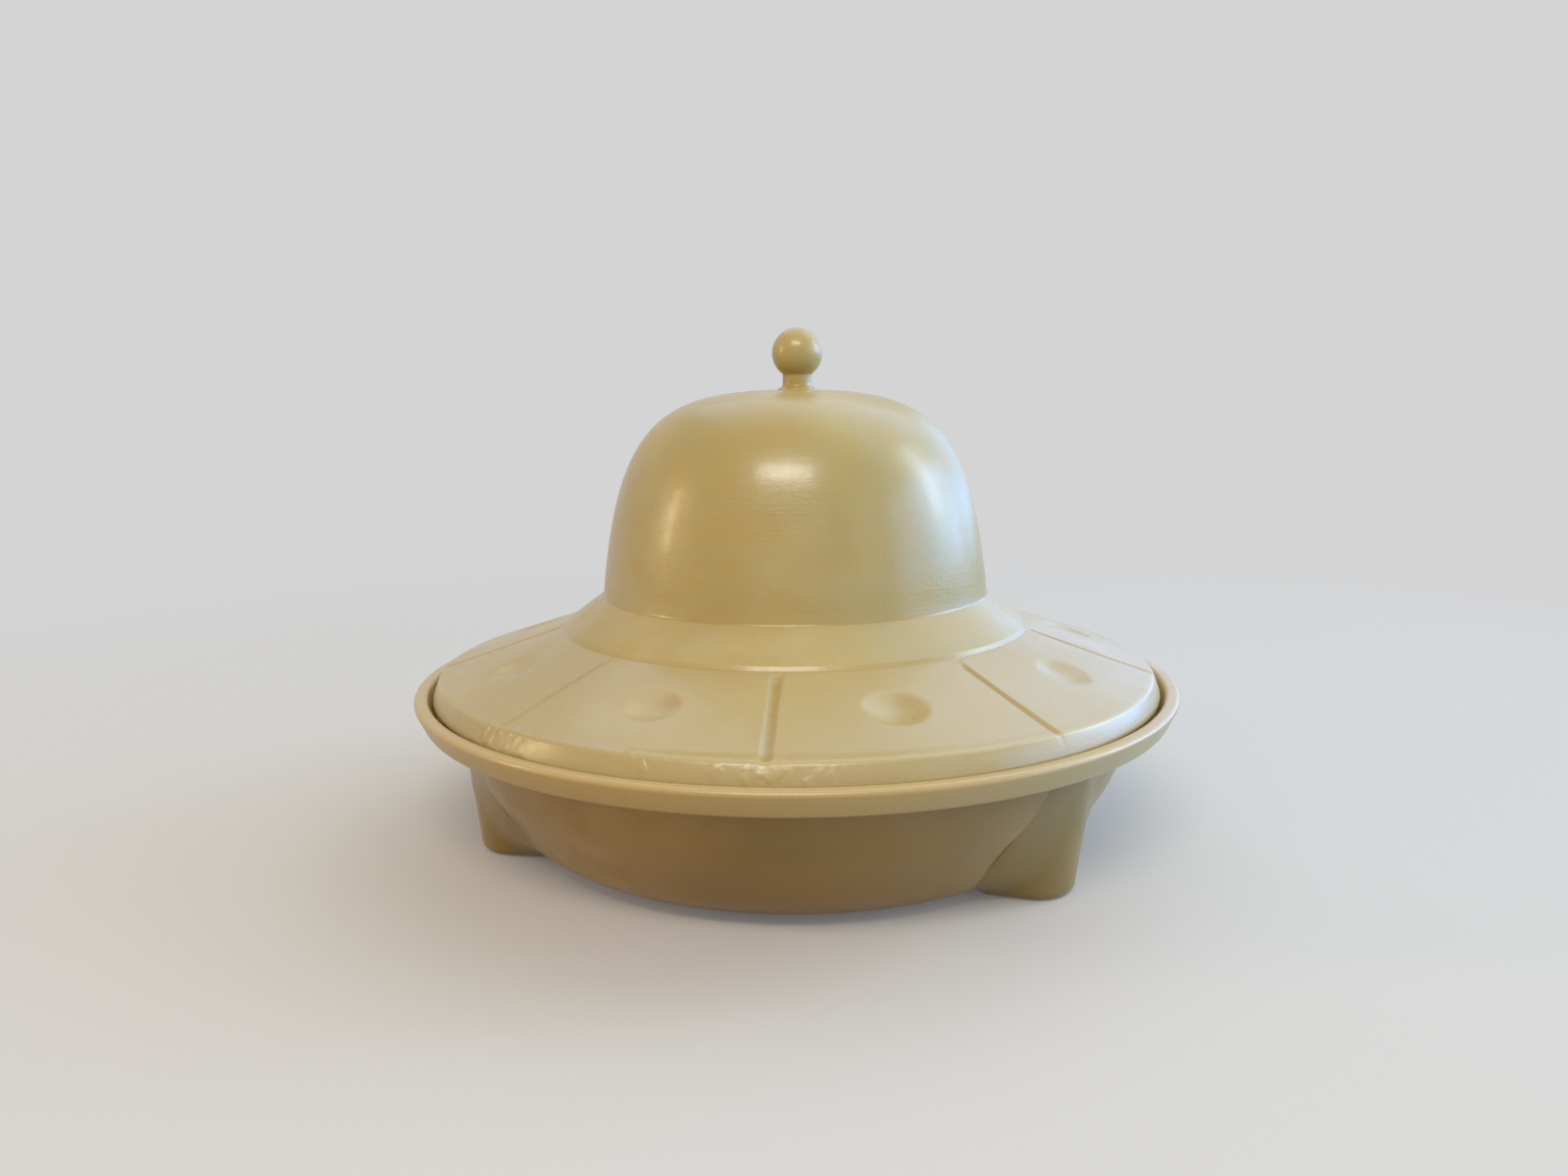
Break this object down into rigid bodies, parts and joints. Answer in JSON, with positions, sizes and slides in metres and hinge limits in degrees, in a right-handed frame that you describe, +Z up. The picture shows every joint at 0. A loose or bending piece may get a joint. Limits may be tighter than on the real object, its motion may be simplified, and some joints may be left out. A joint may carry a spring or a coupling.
{
  "type": "tagine",
  "caption": "Stoneware tagine in a flying-saucer form: footed round dish with a galleried rim and a lift-off domed lid with panelled, dimpled brim and ball knob.",
  "frame": {"origin": "on the dish's axis, at the level of the feet's flat bottoms", "axes": "+Z up along the dish's axis, -Y toward the front of the picture, +X to the right"},
  "size_m": [0.28, 0.28, 0.1851],
  "materials": {
    "khaki_glaze": "satin glaze",
    "pale_khaki_glaze": "satin glaze"
  },
  "bodies": {
    "base": {"base_dish": "khaki_glaze", "foot_front_right": "khaki_glaze", "foot_rear": "khaki_glaze", "foot_left": "khaki_glaze"},
    "lid": {"lid_shell": "pale_khaki_glaze", "lid_knob": "pale_khaki_glaze"}
  },
  "joints": [
    {"name": "lid_lift", "type": "slide", "parent": "base", "child": "lid", "axis": [0, 0, 1], "range_m": [0, 0.2]}
  ]
}
